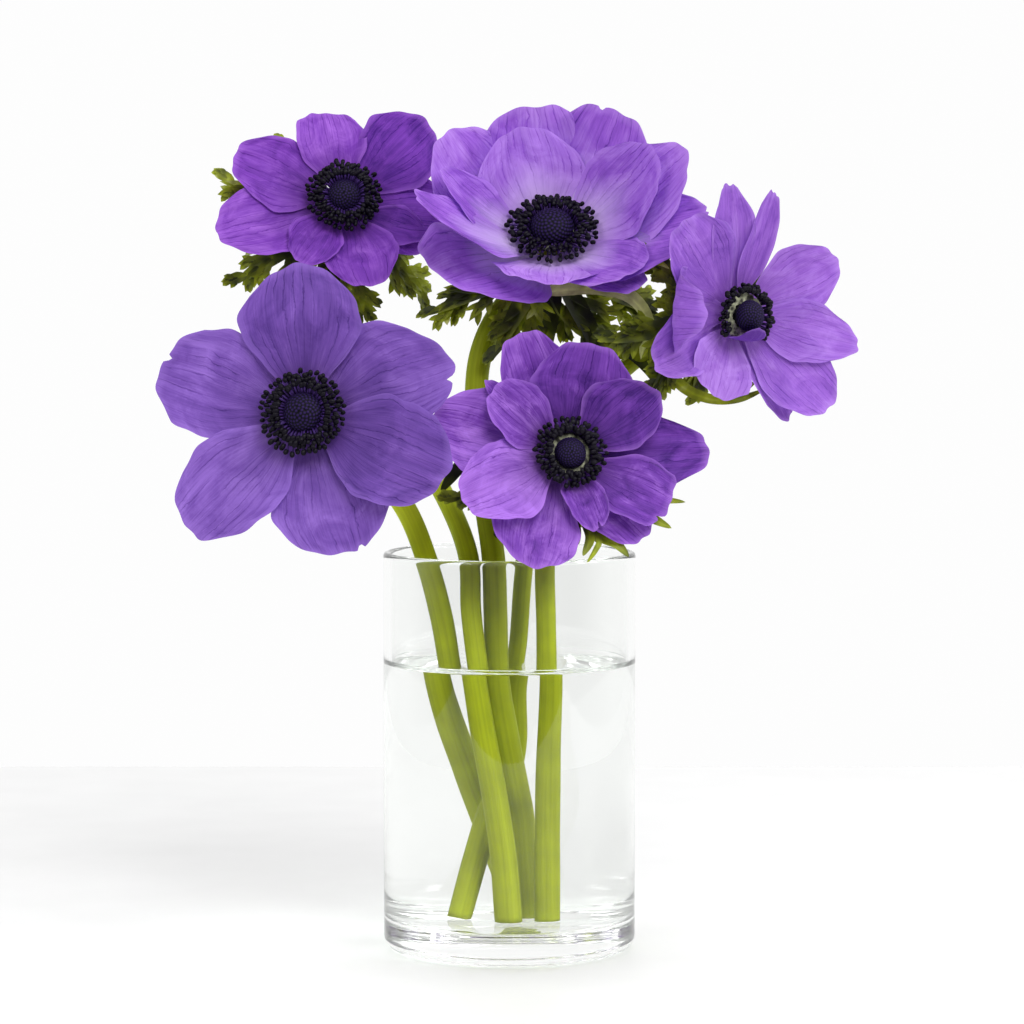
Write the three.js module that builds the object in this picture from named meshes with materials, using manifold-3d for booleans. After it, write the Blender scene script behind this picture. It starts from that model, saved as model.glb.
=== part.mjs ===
// Five anemones standing in a clear glass cylinder vase of water.
// Millimetres, +Z up, the origin at the centre of the vase's foot and the viewer on the -Y side.
// A flower is three solids: a green stem with its whorl of divided leaves, the layered petals
// fused to one small disc, and the dark centre, a dome with its ring of stamens.

import * as THREE from 'three';
import { mergeVertices } from 'three/addons/utils/BufferGeometryUtils.js';
import Module from 'manifold-3d';

const wasm = await Module();
wasm.setup();

// Driving dimensions
const GAP = 0.3;
const VASE = { radius: 40, height: 126.2, wall: 2.6, floor: 10, heel: 4, fillet: 2.5, sides: 36 };
const WATER_LEVEL = 90.5;
const STEM_SIDES = 5;
const STEM_STEPS = 13;
const CLAW_DISC = { radius: 6, top: 0.3, bottom: -4.6 };
const WHORL_DEPTH = 11;
const PETAL = { root: 4.5, thickness: 0.8, rows: 4, columns: 3 };
const BRACT = { thickness: 0.9, spread: 46, tooth: 8.4, notch: 0.56 };
const STAMEN = { root: 3.6, neck: 0.35, anther: 0.9, shoulder: 1.2 };

// The flowers. at is the middle of the petals' disc, yaw turns the face to the right and tilt
// turns it up. The stem's route runs from the vase's floor to the back of the flower.
// A petal's az is its direction round the face from the right, counter-clockwise, rise is its
// slope off the face at root and tip, and layer is how far behind the face it starts.
const FLOWERS = [
  {
    at: [-62.1, -38, 171], yaw: -8, tilt: 12, dome: 6.4, ring: 13.6, ringHeight: 4.6, stamens: 26,
    stemRadius: 3.4,
    route: [[2.5, 17, 6], [-1.6, 16, 28], [-4.9, 14.2, 41], [-8, 9.8, 52], [-10.6, 4.5, 61],
      [-14.8, -2, 74.5], [-17.9, -6, 86], [-21.3, -7, 106], [-26, -8, 124], [-33, -9, 141],
      [-47, -12, 158]],
    bracts: [
      { az: 88, length: 32, rise: 6, droop: 14 },
      { az: 208, length: 30, rise: 4, droop: 18 },
      { az: 330, length: 32, rise: 2, droop: 16 },
    ],
    petals: [
      { az: 94, length: 42, width: 38, rise: [14, -4], layer: 0.4, widest: 0.74, end: 0.82 },
      { az: 26, length: 43, width: 36, rise: [12, -4], layer: 2.2, widest: 0.7, sway: -4, skew: -0.05 },
      { az: -23, length: 44, width: 33, rise: [14, -6], layer: 1.2, widest: 0.6, end: 0.9, tip: 0.12 },
      { az: -71, length: 40, width: 37, rise: [10, -8], layer: 2.8, widest: 0.72, end: 0.85 },
      { az: 225, length: 46, width: 31, rise: [12, -6], layer: 1.4, widest: 0.65, end: 0.85, tip: 0.12 },
      { az: 162, length: 44, width: 34, rise: [12, -4], layer: 2.4, end: 0.88 },
    ],
  },
  {
    at: [-53.7, 28, 237], yaw: 8, tilt: 22, dome: 5.6, ring: 11.8, ringHeight: 5.4, stamens: 24,
    stemRadius: 3.3,
    route: [[-0.2, -6, 6], [-1.5, -8, 31], [-4.1, -11, 53], [-6.8, -14, 70], [-9.2, -16, 87],
      [-11.9, -12, 108], [-13, -4, 125], [-20.5, 8, 143], [-37, 25, 168], [-51, 39, 192],
      [-56.5, 45, 213]],
    bracts: [
      { az: 216, length: 42, rise: -6, droop: 20 },
      { az: 319, length: 41, rise: -8, droop: 16 },
      { az: 162, length: 38, rise: 8, droop: 10 },
    ],
    petals: [
      { az: 100, length: 26, width: 23, rise: [22, 0], layer: 0.8, skew: 0.06, tip: 0.12 },
      { az: 41, length: 34, width: 28, rise: [22, 8], layer: 1.6, widest: 0.8, end: 0.85 },
      { az: -12, length: 32, width: 25, rise: [20, 4], layer: 2.6 },
      { az: -34, length: 27, width: 17, rise: [20, 0], layer: 2.0 },
      { az: 284, length: 28, width: 25, rise: [20, 2], layer: 1.2 },
      { az: 236, length: 24, width: 18, rise: [22, 4], layer: 0.2 },
      { az: 198, length: 40, width: 26, rise: [18, 8], layer: 2.2, widest: 0.65 },
      { az: 159, length: 34, width: 25, rise: [18, 6], layer: 1.2, widest: 0.62 },
    ],
  },
  {
    at: [13.5, 8, 224], yaw: 0, tilt: 42, dome: 7, ring: 14, ringHeight: 7, stamens: 26,
    stemRadius: 3.8,
    route: [[3.6, 5, 6], [2.6, 2, 31], [2, 0, 44], [0.9, -4, 53], [-1.6, -7, 70], [-3.7, -9, 87],
      [-4.4, -8, 108], [-5, -5, 124], [-7.5, 2, 141], [-10.6, 9, 172], [-8.6, 13, 190],
      [0, 19, 205]],
    bracts: [
      { az: 199, length: 45, rise: -6, droop: 10 },
      { az: 302, length: 46, rise: -18, droop: 18 },
      { az: 86, length: 34, rise: 6, droop: 10 },
    ],
    petals: [
      { az: 150, length: 47, width: 40, rise: [22, 56], layer: 2.6 },
      { az: 100, length: 43, width: 44, rise: [22, 56], layer: 2.6 },
      { az: 58, length: 45, width: 42, rise: [22, 56], layer: 2.0 },
      { az: 16, length: 50, width: 36, rise: [20, 54], layer: 2.6 },
      { az: 344, length: 51.4, width: 38, rise: [22, 36], layer: 1.4 },
      { az: 112, length: 35, width: 36, rise: [28, 62], layer: 0.8 },
      { az: 172, length: 42, width: 20, rise: [26, 60], layer: 1.0 },
      { az: 25, length: 41, width: 34, rise: [26, 54], layer: 0.8 },
      { az: 208, length: 56, width: 22, rise: [30, 60], layer: 1.4, end: 0.5 },
      { az: 217, length: 39, width: 44, rise: [20, 18], layer: 3.0, skew: -0.16 },
      { az: 268, length: 32, width: 36, rise: [30, 34], layer: 1.0 },
      { az: 312, length: 38, width: 30, rise: [26, 30], layer: 0.6 },
      { az: 313, length: 38, width: 19, rise: [22, 20], layer: 2.8 },
    ],
  },
  {
    at: [71.6, -8, 201.1], yaw: 32, tilt: -2, dome: 5, ring: 9.5, ringHeight: 4.8, stamens: 24,
    stemRadius: 2.8, bare: [208, 316],
    route: [[-11.9, 1, 6], [-7.5, 3.5, 31], [-4.1, 5.5, 45.5], [-0.4, 6, 56], [1, 5, 66],
      [1.1, 4.5, 84], [2.8, 4.5, 97], [4.4, 5, 118], [8, 9, 145], [21, 14, 167], [42, 14, 188]],
    bracts: [
      { az: 254, length: 28, rise: -6, droop: 10 },
      { az: 140, length: 28, rise: 2, droop: 10 },
      { az: 20, length: 28, rise: 4, droop: 10 },
    ],
    petals: [
      { az: 103, length: 38.5, width: 17, rise: [16, 10], layer: 2.2, end: 0.5, tip: 0.1, widest: 0.6 },
      { az: 79, length: 36, width: 11, rise: [16, 10], layer: 1.2, end: 0.6, tip: 0.12, widest: 0.5 },
      { az: 27, length: 34.5, width: 24, rise: [16, 10], layer: 2.0 },
      { az: 347, length: 39, width: 20, rise: [16, 10], layer: 1.0, end: 0.7, widest: 0.6 },
      { az: 318, length: 40, width: 25, rise: [16, 10], layer: 2.0 },
      { az: 299, length: 34, width: 12, rise: [14, 8], layer: 3.4 },
      { az: 243, length: 24, width: 24, rise: [20, 10], layer: 1.2, end: 0.9 },
      { az: 200, length: 36, width: 22, rise: [20, 10], layer: 2.6 },
      { az: 176, length: 44, width: 27, rise: [2, 170], bend: 2.5, layer: 0.4 },
      { az: 134, length: 36, width: 28, rise: [18, 8], layer: 1.8 },
      { az: 262, length: 12, width: 9, rise: [74, 96], layer: 1.6, root: 5.4, cup: 0.6 },
    ],
  },
  {
    at: [17.8, -28, 157.9], yaw: 14, tilt: 16, dome: 5, ring: 10.8, ringHeight: 4.8, stamens: 24,
    stemRadius: 3.2,
    route: [[9.3, -4, 6], [9.6, -8, 38], [10.3, -14, 63], [11.4, -19.5, 87], [11.3, -20, 105],
      [11, -16, 123], [12.4, -8, 138]],
    bracts: [
      { az: 192, length: 34, rise: 0, droop: 14 },
      { az: 297, length: 34, rise: -4, droop: 12 },
      { az: 72, length: 30, rise: 4, droop: 10 },
    ],
    petals: [
      { az: 110, length: 37, width: 26, rise: [18, 8], layer: 3.4 },
      { az: 166, length: 41, width: 29, rise: [16, 6], layer: 3.4 },
      { az: 237, length: 34.5, width: 29, rise: [22, 2], layer: 3.4, sway: 10 },
      { az: 0, length: 42, width: 24, rise: [16, 6], layer: 3.4 },
      { az: 304, length: 31, width: 21, rise: [16, 6], layer: 3.4 },
      { az: 141, length: 28, width: 20, rise: [24, 10], layer: 0.8, end: 0.85 },
      { az: 203, length: 35, width: 26, rise: [22, 8], layer: 0.6, widest: 0.62 },
      { az: 75, length: 32, width: 33, rise: [22, 10], layer: 1.6 },
      { az: 36, length: 30, width: 24, rise: [22, 10], layer: 0.6, skew: -0.06 },
      { az: 325, length: 31, width: 21, rise: [20, 8], layer: 0.8, end: 0.9, tip: 0.1 },
      { az: 284, length: 22, width: 14, rise: [24, 12], layer: 0.6, widest: 0.5 },
      { az: 139, length: 31, width: 9, rise: [14, 20], layer: 2.6 },
    ],
  },
];

const radians = THREE.MathUtils.degToRad;
const clamp = THREE.MathUtils.clamp;

// A closed geometry becomes a solid that can be cut and joined, and a solid a geometry again.
function solid(geometry) {
  const plain = geometry.clone();
  for (const name of ['normal', 'uv']) plain.deleteAttribute(name);
  const merged = mergeVertices(plain, 1e-4);
  return new wasm.Manifold(new wasm.Mesh({
    numProp: 3,
    vertProperties: new Float32Array(merged.attributes.position.array),
    triVerts: new Uint32Array(merged.index.array),
  }));
}

function surface(body) {
  const mesh = body.getMesh();
  const geometry = new THREE.BufferGeometry();
  geometry.setAttribute('position', new THREE.BufferAttribute(mesh.vertProperties, 3));
  geometry.setIndex(new THREE.BufferAttribute(mesh.triVerts, 1));
  geometry.computeVertexNormals();
  return geometry;
}

const joined = (bodies) => bodies.reduce((whole, body) => whole.add(body));

// LatheGeometry turns about Y, so the turned pieces are stood up along Z.
function turned(profile, sides) {
  const points = profile.map(([r, z]) => new THREE.Vector2(r, z));
  return new THREE.LatheGeometry(points, sides).rotateX(Math.PI / 2);
}

// A rounded corner of a profile, from one angle to another about its centre
function arc(centreRadius, centreHeight, radius, from, to, steps) {
  return Array.from({ length: steps + 1 }, (_, k) => {
    const angle = radians(from + (to - from) * k / steps);
    return [centreRadius + radius * Math.cos(angle), centreHeight + radius * Math.sin(angle)];
  });
}

function vaseGeometry() {
  const inner = VASE.radius - VASE.wall;
  const lip = VASE.wall / 2;
  return turned([
    [0, 0],
    ...arc(VASE.radius - VASE.heel, VASE.heel, VASE.heel, -90, 0, 2),
    ...arc(VASE.radius - lip, VASE.height - lip, lip, 0, 180, 4),
    ...arc(inner - VASE.fillet, VASE.floor + VASE.fillet, VASE.fillet, 0, -90, 2),
    [0, VASE.floor],
  ], VASE.sides);
}

// Everything below this height is taken off a stem, so that it stands flat on the floor.
function belowFloor() {
  const depth = 60;
  const block = new THREE.BoxGeometry(200, 200, depth);
  return solid(block.translate(0, 0, VASE.floor + GAP - depth / 2));
}

function waterSolid() {
  const radius = VASE.radius - VASE.wall - GAP;
  const bottom = VASE.floor + GAP;
  const body = solid(turned([
    [0, bottom],
    ...arc(radius - VASE.fillet, bottom + VASE.fillet, VASE.fillet, -90, 0, 2),
    [radius, WATER_LEVEL],
    [0, WATER_LEVEL],
  ], VASE.sides));
  return FLOWERS.reduce((water, flower) => water.subtract(stemTube(flower, GAP)), body);
}

// A flower's own frame: x to the right across the face, y up the face and z out of it.
function flowerMatrix({ at, yaw, tilt }) {
  const [a, b] = [radians(yaw), radians(tilt)];
  const facing = new THREE.Vector3(
    Math.sin(a) * Math.cos(b), -Math.cos(a) * Math.cos(b), Math.sin(b));
  const across = new THREE.Vector3(Math.cos(a), Math.sin(a), 0);
  const up = new THREE.Vector3().crossVectors(facing, across);
  return new THREE.Matrix4().makeBasis(across, up, facing).setPosition(...at);
}

// The stem's route, carried on to the back of the flower along the flower's own axis
function stemCurve(flower) {
  const matrix = flowerMatrix(flower);
  const neck = [-16, CLAW_DISC.bottom - GAP].map((z) => new THREE.Vector3(0, 0, z).applyMatrix4(matrix));
  const route = flower.route.map((point) => new THREE.Vector3(...point));
  return new THREE.CatmullRomCurve3([...route, ...neck], false, 'centripetal');
}

function stemTube(flower, clearance = 0) {
  const section = new THREE.Shape();
  section.absarc(0, 0, flower.stemRadius + clearance, 0, 2 * Math.PI);
  return solid(new THREE.ExtrudeGeometry(section, {
    extrudePath: stemCurve(flower), steps: STEM_STEPS, curveSegments: STEM_SIDES, bevelEnabled: false,
  }));
}

// A leaf of the whorl: three lobes cut into narrow teeth, with deep cuts between the lobes
function bractOutline(length) {
  const polar = (reach, angle) => new THREE.Vector2(
    reach * Math.cos(radians(angle)), reach * Math.sin(radians(angle)));
  const points = [new THREE.Vector2(0, -1.5)];
  for (const lobe of [-1, 0, 1]) {
    const reach = length * (lobe === 0 ? 1 : 0.82);
    const middle = lobe * BRACT.spread;
    for (const tooth of [-2, -1, 0, 1, 2]) {
      if (tooth > -2) points.push(polar(reach * BRACT.notch, middle + (tooth - 0.5) * BRACT.tooth));
      points.push(polar(reach * (1 - 0.15 * Math.abs(tooth)), middle + tooth * BRACT.tooth));
    }
    if (lobe < 1) points.push(polar(length * 0.22, middle + BRACT.spread / 2));
  }
  points.push(new THREE.Vector2(0, 1.5));
  return new THREE.Shape(points);
}

// The flat leaf is arched along its length, its sides droop, and it turns about the stem.
function bractSolid({ az, length, rise, droop }) {
  const geometry = new THREE.ExtrudeGeometry(bractOutline(length), {
    depth: BRACT.thickness, bevelEnabled: false,
  }).translate(0, 0, -BRACT.thickness / 2);
  const position = geometry.attributes.position;
  for (let i = 0; i < position.count; i += 1) {
    const [x, y, z] = [position.getX(i), position.getY(i), position.getZ(i)];
    const slope = radians(rise - droop * x / length / 2);
    const sag = 0.012 * y * y;
    position.setXYZ(i, x * Math.cos(slope), y, z + x * Math.sin(slope) - sag - WHORL_DEPTH);
  }
  return solid(geometry.rotateZ(radians(az)));
}

function stemSolid(flower) {
  const matrix = flowerMatrix(flower).toArray();
  const leaves = flower.bracts.map((bract) => bractSolid(bract).transform(matrix));
  return joined([stemTube(flower), ...leaves]).subtract(belowFloor());
}

// A petal's midline leaves the disc at its root and turns from one slope to the other.
function midline({ length, rise, bend = 1, layer = 1, root = PETAL.root }) {
  const steps = 30;
  const points = [{ reach: root, height: -layer, slope: radians(rise[0]) }];
  for (let k = 1; k <= steps; k += 1) {
    const slope = radians(rise[0] + (rise[1] - rise[0]) * ((k - 0.5) / steps) ** bend);
    const last = points[k - 1];
    points.push({
      reach: last.reach + Math.cos(slope) * length / steps,
      height: last.height + Math.sin(slope) * length / steps,
      slope,
    });
  }
  return (s) => {
    const place = clamp(s, 0, 1) * steps;
    const [low, part] = [Math.min(Math.floor(place), steps - 1), place - Math.min(Math.floor(place), steps - 1)];
    const mix = (key) => points[low][key] + (points[low + 1][key] - points[low][key]) * part;
    return { reach: mix('reach'), height: mix('height'), slope: mix('slope') };
  };
}

// A point of a petal, s along it from root to tip and v across it from -1 to 1, and its normal
function petalPoint(petal, line, s, v) {
  const { az, width, cup = 2, sway = 0, tip = 0.16, widest = 0.68, end = 0.8, skew = 0 } = petal;
  const along = clamp(s * (1 - tip * Math.abs(v) ** 2.4 + skew * v), 0, 1);
  const swelling = 0.2 + 0.8 * Math.sin(Math.min(s / widest, 1) * Math.PI / 2) ** 1.5;
  const rounding = 1 - (1 - end) * Math.max((s - widest) / (1 - widest), 0) ** 2;
  const half = swelling * rounding * width / 2;
  const { reach, height, slope } = line(along);
  const angle = radians(az + sway * along ** 1.5);
  const radial = new THREE.Vector3(Math.cos(angle), Math.sin(angle), 0);
  const side = new THREE.Vector3(-Math.sin(angle), Math.cos(angle), 0);
  const normal = radial.clone().multiplyScalar(-Math.sin(slope)).setZ(Math.cos(slope));
  const edge = v * half / (width / 2);
  const wave = 0.5 * Math.sin(4 * v + az) * along ** 4;
  const lift = cup * edge * edge * clamp(1.6 * along, 0, 1) + wave;
  const point = radial.multiplyScalar(reach).setZ(height)
    .addScaledVector(side, v * half).addScaledVector(normal, lift);
  return { point, normal };
}

// Both faces of a petal share one grid and one way of splitting it, so that they never cross.
function petalSolid(petal) {
  const { rows, columns, thickness } = PETAL;
  const line = midline(petal);
  const positions = [];
  for (const face of [0.5, -0.5]) {
    for (let i = 0; i <= rows; i += 1) {
      for (let j = 0; j <= columns; j += 1) {
        const { point, normal } = petalPoint(petal, line, i / rows, 2 * j / columns - 1);
        positions.push(...point.addScaledVector(normal, face * thickness).toArray());
      }
    }
  }
  const back = (rows + 1) * (columns + 1);
  const at = (i, j) => i * (columns + 1) + j;
  const triangles = [];
  for (let i = 0; i < rows; i += 1) {
    for (let j = 0; j < columns; j += 1) {
      const [a, b, c, d] = [at(i, j), at(i + 1, j), at(i + 1, j + 1), at(i, j + 1)];
      triangles.push(a, b, c, a, c, d, back + a, back + c, back + b, back + a, back + d, back + c);
    }
  }
  const rim = [];
  for (let j = 0; j < columns; j += 1) rim.push(at(0, j));
  for (let i = 0; i < rows; i += 1) rim.push(at(i, columns));
  for (let j = columns; j > 0; j -= 1) rim.push(at(rows, j));
  for (let i = rows; i > 0; i -= 1) rim.push(at(i, 0));
  rim.forEach((p, k) => {
    const q = rim[(k + 1) % rim.length];
    triangles.push(p, q, back + q, p, back + q, back + p);
  });
  const geometry = new THREE.BufferGeometry();
  geometry.setAttribute('position', new THREE.Float32BufferAttribute(positions, 3));
  geometry.setIndex(triangles);
  return solid(geometry);
}

function petalsSolid(flower) {
  const { radius, top, bottom } = CLAW_DISC;
  const disc = solid(turned([[0, bottom], [radius - 1, bottom], [radius, bottom + 1.5], [radius, top],
    [0, top]], 12));
  return joined([disc, ...flower.petals.map(petalSolid)]);
}

// A stamen is a three-sided thread that swells towards its anther and ends in a point.
function stamenSolid(azimuth, reach, height, startHeight) {
  const start = new THREE.Vector3(STAMEN.root, 0, startHeight);
  const tip = new THREE.Vector3(reach, 0, height);
  const along = tip.clone().sub(start).normalize();
  const across = new THREE.Vector3(0, 1, 0);
  const normal = new THREE.Vector3().crossVectors(along, across);
  const length = tip.distanceTo(start);
  const stations = [[0, STAMEN.neck], [length - STAMEN.shoulder, STAMEN.anther]];
  const sides = 3;
  const positions = [];
  for (const [distance, radius] of stations) {
    for (let k = 0; k < sides; k += 1) {
      const angle = 2 * Math.PI * k / sides;
      positions.push(...start.clone().addScaledVector(along, distance)
        .addScaledVector(across, radius * Math.cos(angle))
        .addScaledVector(normal, radius * Math.sin(angle)).toArray());
    }
  }
  positions.push(...tip.toArray());
  const triangles = [2, 1, 0];
  for (let k = 0; k < sides; k += 1) {
    const [a, b] = [k, (k + 1) % sides];
    triangles.push(a, b, b + sides, a, b + sides, a + sides, a + sides, b + sides, 2 * sides);
  }
  const geometry = new THREE.BufferGeometry();
  geometry.setAttribute('position', new THREE.Float32BufferAttribute(positions, 3));
  geometry.setIndex(triangles);
  return solid(geometry.rotateZ(radians(azimuth)));
}

// The dome stands on a narrow neck in the middle of the petals, inside its ring of stamens.
function centreSolid({ dome, ring, ringHeight, stamens, bare = [0, 0] }) {
  const foot = CLAW_DISC.top + GAP;
  const base = ringHeight - 1.8;
  const profile = [[0, foot], [3, foot], [3.2, base - 0.6], [dome * 0.96, base],
    [dome, base + dome * 0.25], [dome * 0.8, base + dome * 0.52], [dome * 0.42, base + dome * 0.68],
    [0, base + dome * 0.74]];
  const threads = [];
  for (let k = 0; k < stamens; k += 1) {
    const azimuth = 360 * k / stamens + 3 * Math.sin(9 * k);
    const inner = k % 2 === 1;
    const reach = ring * (inner ? 0.8 : 1) + 0.4 * Math.sin(5 * k);
    const height = ringHeight + (inner ? 1.6 : 0) + 0.3 * Math.cos(7 * k);
    const hidden = azimuth > bare[0] && azimuth < bare[1];
    if (!hidden) threads.push(stamenSolid(azimuth, reach, height, base + 0.6));
  }
  return joined([solid(turned(profile, 12)), ...threads]);
}

// The finished pieces
const material = (color, roughness, options = {}) => new THREE.MeshStandardMaterial({
  color, roughness, metalness: 0, ...options,
});
const finishes = {
  glass: material(0xdfe6e2, 0.03, { transparent: true, opacity: 0.3 }),
  water: material(0xe8efec, 0.02, { transparent: true, opacity: 0.4 }),
  stem: material(0x7f8c16, 0.5),
  petals: material(0x8a4fc8, 0.6),
  centre: material(0x140d22, 0.65),
};

function piece(name, geometry, finish) {
  const mesh = new THREE.Mesh(geometry, finish);
  mesh.name = name;
  return mesh;
}

const arrangement = new THREE.Group();
arrangement.add(piece('vase', surface(solid(vaseGeometry())), finishes.glass));
arrangement.add(piece('water', surface(waterSolid()), finishes.water));

FLOWERS.forEach((flower, index) => {
  const number = index + 1;
  arrangement.add(piece(`stem_${number}`, surface(stemSolid(flower)), finishes.stem));
  const bloom = new THREE.Group();
  flowerMatrix(flower).decompose(bloom.position, bloom.quaternion, bloom.scale);
  bloom.add(piece(`petals_${number}`, surface(petalsSolid(flower)), finishes.petals));
  bloom.add(piece(`centre_${number}`, surface(centreSolid(flower)), finishes.centre));
  arrangement.add(bloom);
});

export default arrangement;
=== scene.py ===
import math
import random

import bpy
import numpy as np
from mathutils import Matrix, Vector


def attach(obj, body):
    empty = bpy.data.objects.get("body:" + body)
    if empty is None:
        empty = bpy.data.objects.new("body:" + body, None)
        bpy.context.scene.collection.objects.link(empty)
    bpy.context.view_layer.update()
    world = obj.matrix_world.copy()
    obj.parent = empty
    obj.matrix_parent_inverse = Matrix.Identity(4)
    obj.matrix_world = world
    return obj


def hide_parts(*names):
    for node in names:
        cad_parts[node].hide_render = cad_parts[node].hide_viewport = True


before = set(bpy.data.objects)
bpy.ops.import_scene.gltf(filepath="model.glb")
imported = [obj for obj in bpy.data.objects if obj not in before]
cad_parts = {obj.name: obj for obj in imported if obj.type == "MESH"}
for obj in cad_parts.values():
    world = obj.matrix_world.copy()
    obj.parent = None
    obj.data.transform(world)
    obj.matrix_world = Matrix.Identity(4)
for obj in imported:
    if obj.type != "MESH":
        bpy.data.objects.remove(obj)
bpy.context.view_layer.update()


# The vase: a clear soda-lime glass cylinder, blown or pressed in one piece, with a thick flat
# base, a small rounded heel and a fire-polished rim. It stands on its foot and holds the water.
VASE_RADIUS = 40.0
VASE_HEIGHT = 126.2
GLASS_WALL = 2.6
BASE_THICKNESS = 10.0
HEEL_RADIUS = 4.0
INNER_FILLET = 2.5


def linear(colour):
    """An sRGB hex colour as the linear values that a shader takes."""
    channels = [int(colour[i:i + 2], 16) / 255 for i in (1, 3, 5)]
    return [c / 12.92 if c <= 0.04045 else ((c + 0.055) / 1.055) ** 2.4 for c in channels] + [1.0]


def add(tree, kind, inputs=None, stops=(), **settings):
    """A node with its settings. Each input is given a value or another node's output, and a
    colour ramp is given its stops from first to last."""
    node = tree.nodes.new(kind)
    for name, value in settings.items():
        setattr(node, name, value)
    for name, value in (inputs or {}).items():
        if isinstance(value, bpy.types.NodeSocket):
            tree.links.new(value, node.inputs[name])
        else:
            node.inputs[name].default_value = value
    for end, (position, colour) in enumerate(stops[:1] + stops[-1:]):
        node.color_ramp.elements[end].position = position
        node.color_ramp.elements[end].color = linear(colour)
    for position, colour in stops[1:-1]:
        node.color_ramp.elements.new(position).color = linear(colour)
    return node


def start_material(name):
    """An empty node material, its tree and its output."""
    material = bpy.data.materials.new(name)
    material.use_nodes = True
    material.node_tree.nodes.clear()
    output = add(material.node_tree, "ShaderNodeOutputMaterial")
    return material, material.node_tree, output


def clear_material(name, index, tint, lamp_tint):
    """A clear material with a polished surface. Lamps shine through it, so that the stems and
    the table are lit as they are in a real vase of water."""
    material, tree, output = start_material(name)
    body = add(tree, "ShaderNodeBsdfPrincipled", {
        "Base Color": linear(tint), "Roughness": 0.0, "IOR": index, "Transmission Weight": 1.0})
    clear = add(tree, "ShaderNodeBsdfTransparent", {"Color": linear(lamp_tint)})
    path = add(tree, "ShaderNodeLightPath")
    shown = add(tree, "ShaderNodeMixShader", {0: path.outputs["Is Shadow Ray"], 1: body.outputs[0],
                                              2: clear.outputs[0]})
    tree.links.new(shown.outputs[0], output.inputs["Surface"])
    return material


def make_piece(name, points, faces, material, replaced=(), maps=None):
    """A smooth mesh piece of points in millimetres. Each map gives every point two values."""
    mesh = bpy.data.meshes.new(name)
    mesh.from_pydata((np.asarray(points) / 1000).tolist(), [], faces)
    mesh.validate()
    mesh.polygons.foreach_set("use_smooth", [True] * len(mesh.polygons))
    corners = np.zeros(len(mesh.loops), int)
    mesh.loops.foreach_get("vertex_index", corners)
    for map_name, values in (maps or {}).items():
        layer = mesh.uv_layers.new(name=map_name)
        layer.data.foreach_set("uv", np.asarray(values, float)[corners].ravel())
    mesh.materials.append(material)
    piece = bpy.data.objects.new(name, mesh)
    bpy.context.scene.collection.objects.link(piece)
    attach(piece, "root")
    if replaced:
        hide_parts(*replaced)
    return piece


def corner(radius, height, size, start, end, steps=8):
    """A rounded corner of a turned profile, by its centre, size and two angles in degrees."""
    angles = np.radians(np.linspace(start, end, steps + 1))
    return [(radius + size * math.cos(a), height + size * math.sin(a)) for a in angles]


def ring_faces(rings, sides, first=0):
    """The faces between closed rings of points that follow one another from the first point."""
    return [(first + k * sides + j, first + k * sides + (j + 1) % sides,
             first + (k + 1) * sides + (j + 1) % sides, first + (k + 1) * sides + j)
            for k in range(rings - 1) for j in range(sides)]


def turned(profile, sides=144):
    """Points and faces of a profile turned about the vase's axis. Its two ends lie on the axis."""
    angles = np.linspace(0, 2 * math.pi, sides, endpoint=False)
    points = [(0, 0, profile[0][1])]
    for radius, height in profile[1:-1]:
        points += [(radius * math.cos(a), radius * math.sin(a), height) for a in angles]
    points.append((0, 0, profile[-1][1]))
    faces = [(0, 1 + (k + 1) % sides, 1 + k) for k in range(sides)]
    faces += ring_faces(len(profile) - 2, sides, first=1)
    last = 1 + (len(profile) - 3) * sides
    faces += [(last + k, last + (k + 1) % sides, len(points) - 1) for k in range(sides)]
    return points, faces


# Soda-lime glass, polished: perfectly clear, with a faint grey-green only along a thick edge.
# Where water wets it, light bends less, by the ratio of the glass's index to the water's.
GLASS_INDEX = 1.52
WATER_INDEX = 1.333
glass = clear_material("soda_lime_glass", GLASS_INDEX, "#FBFCFB", "#FAFCFB")
wetted_glass = clear_material("soda_lime_glass_wetted", GLASS_INDEX / WATER_INDEX, "#FBFCFB",
                              "#FAFCFB")

# The water climbs the wall by 2 mm. A ring this near to a corner keeps the wall beyond it even.
WATER_LEVEL = 90.5
WATER_EDGE = WATER_LEVEL + 2.0
NEAR_CORNER = 0.6
inner = VASE_RADIUS - GLASS_WALL
lip = GLASS_WALL / 2
outside = [HEEL_RADIUS + NEAR_CORNER, 20, 45, 70, 95, VASE_HEIGHT - lip - NEAR_CORNER]
dry_inside = [VASE_HEIGHT - lip - NEAR_CORNER, 110, WATER_EDGE + NEAR_CORNER, WATER_EDGE]
wet_inside = [WATER_EDGE - NEAR_CORNER, 70, 45, 25, BASE_THICKNESS + INNER_FILLET + NEAR_CORNER]
profile = ([(0, 0), (20, 0), (VASE_RADIUS - HEEL_RADIUS - NEAR_CORNER, 0)]
           + corner(VASE_RADIUS - HEEL_RADIUS, HEEL_RADIUS, HEEL_RADIUS, -90, 0)
           + [(VASE_RADIUS, z) for z in outside]
           + corner(VASE_RADIUS - lip, VASE_HEIGHT - lip, lip, 0, 180, 10)
           + [(inner, z) for z in dry_inside + wet_inside]
           + corner(inner - INNER_FILLET, BASE_THICKNESS + INNER_FILLET, INNER_FILLET, 0, -90)
           + [(inner - INNER_FILLET - NEAR_CORNER, BASE_THICKNESS), (18, BASE_THICKNESS),
              (0, BASE_THICKNESS)])
vase_points, vase_faces = turned(profile)
vase = make_piece("glass_vase", vase_points, vase_faces, glass, ["vase"])
vase.data.materials.append(wetted_glass)
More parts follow.
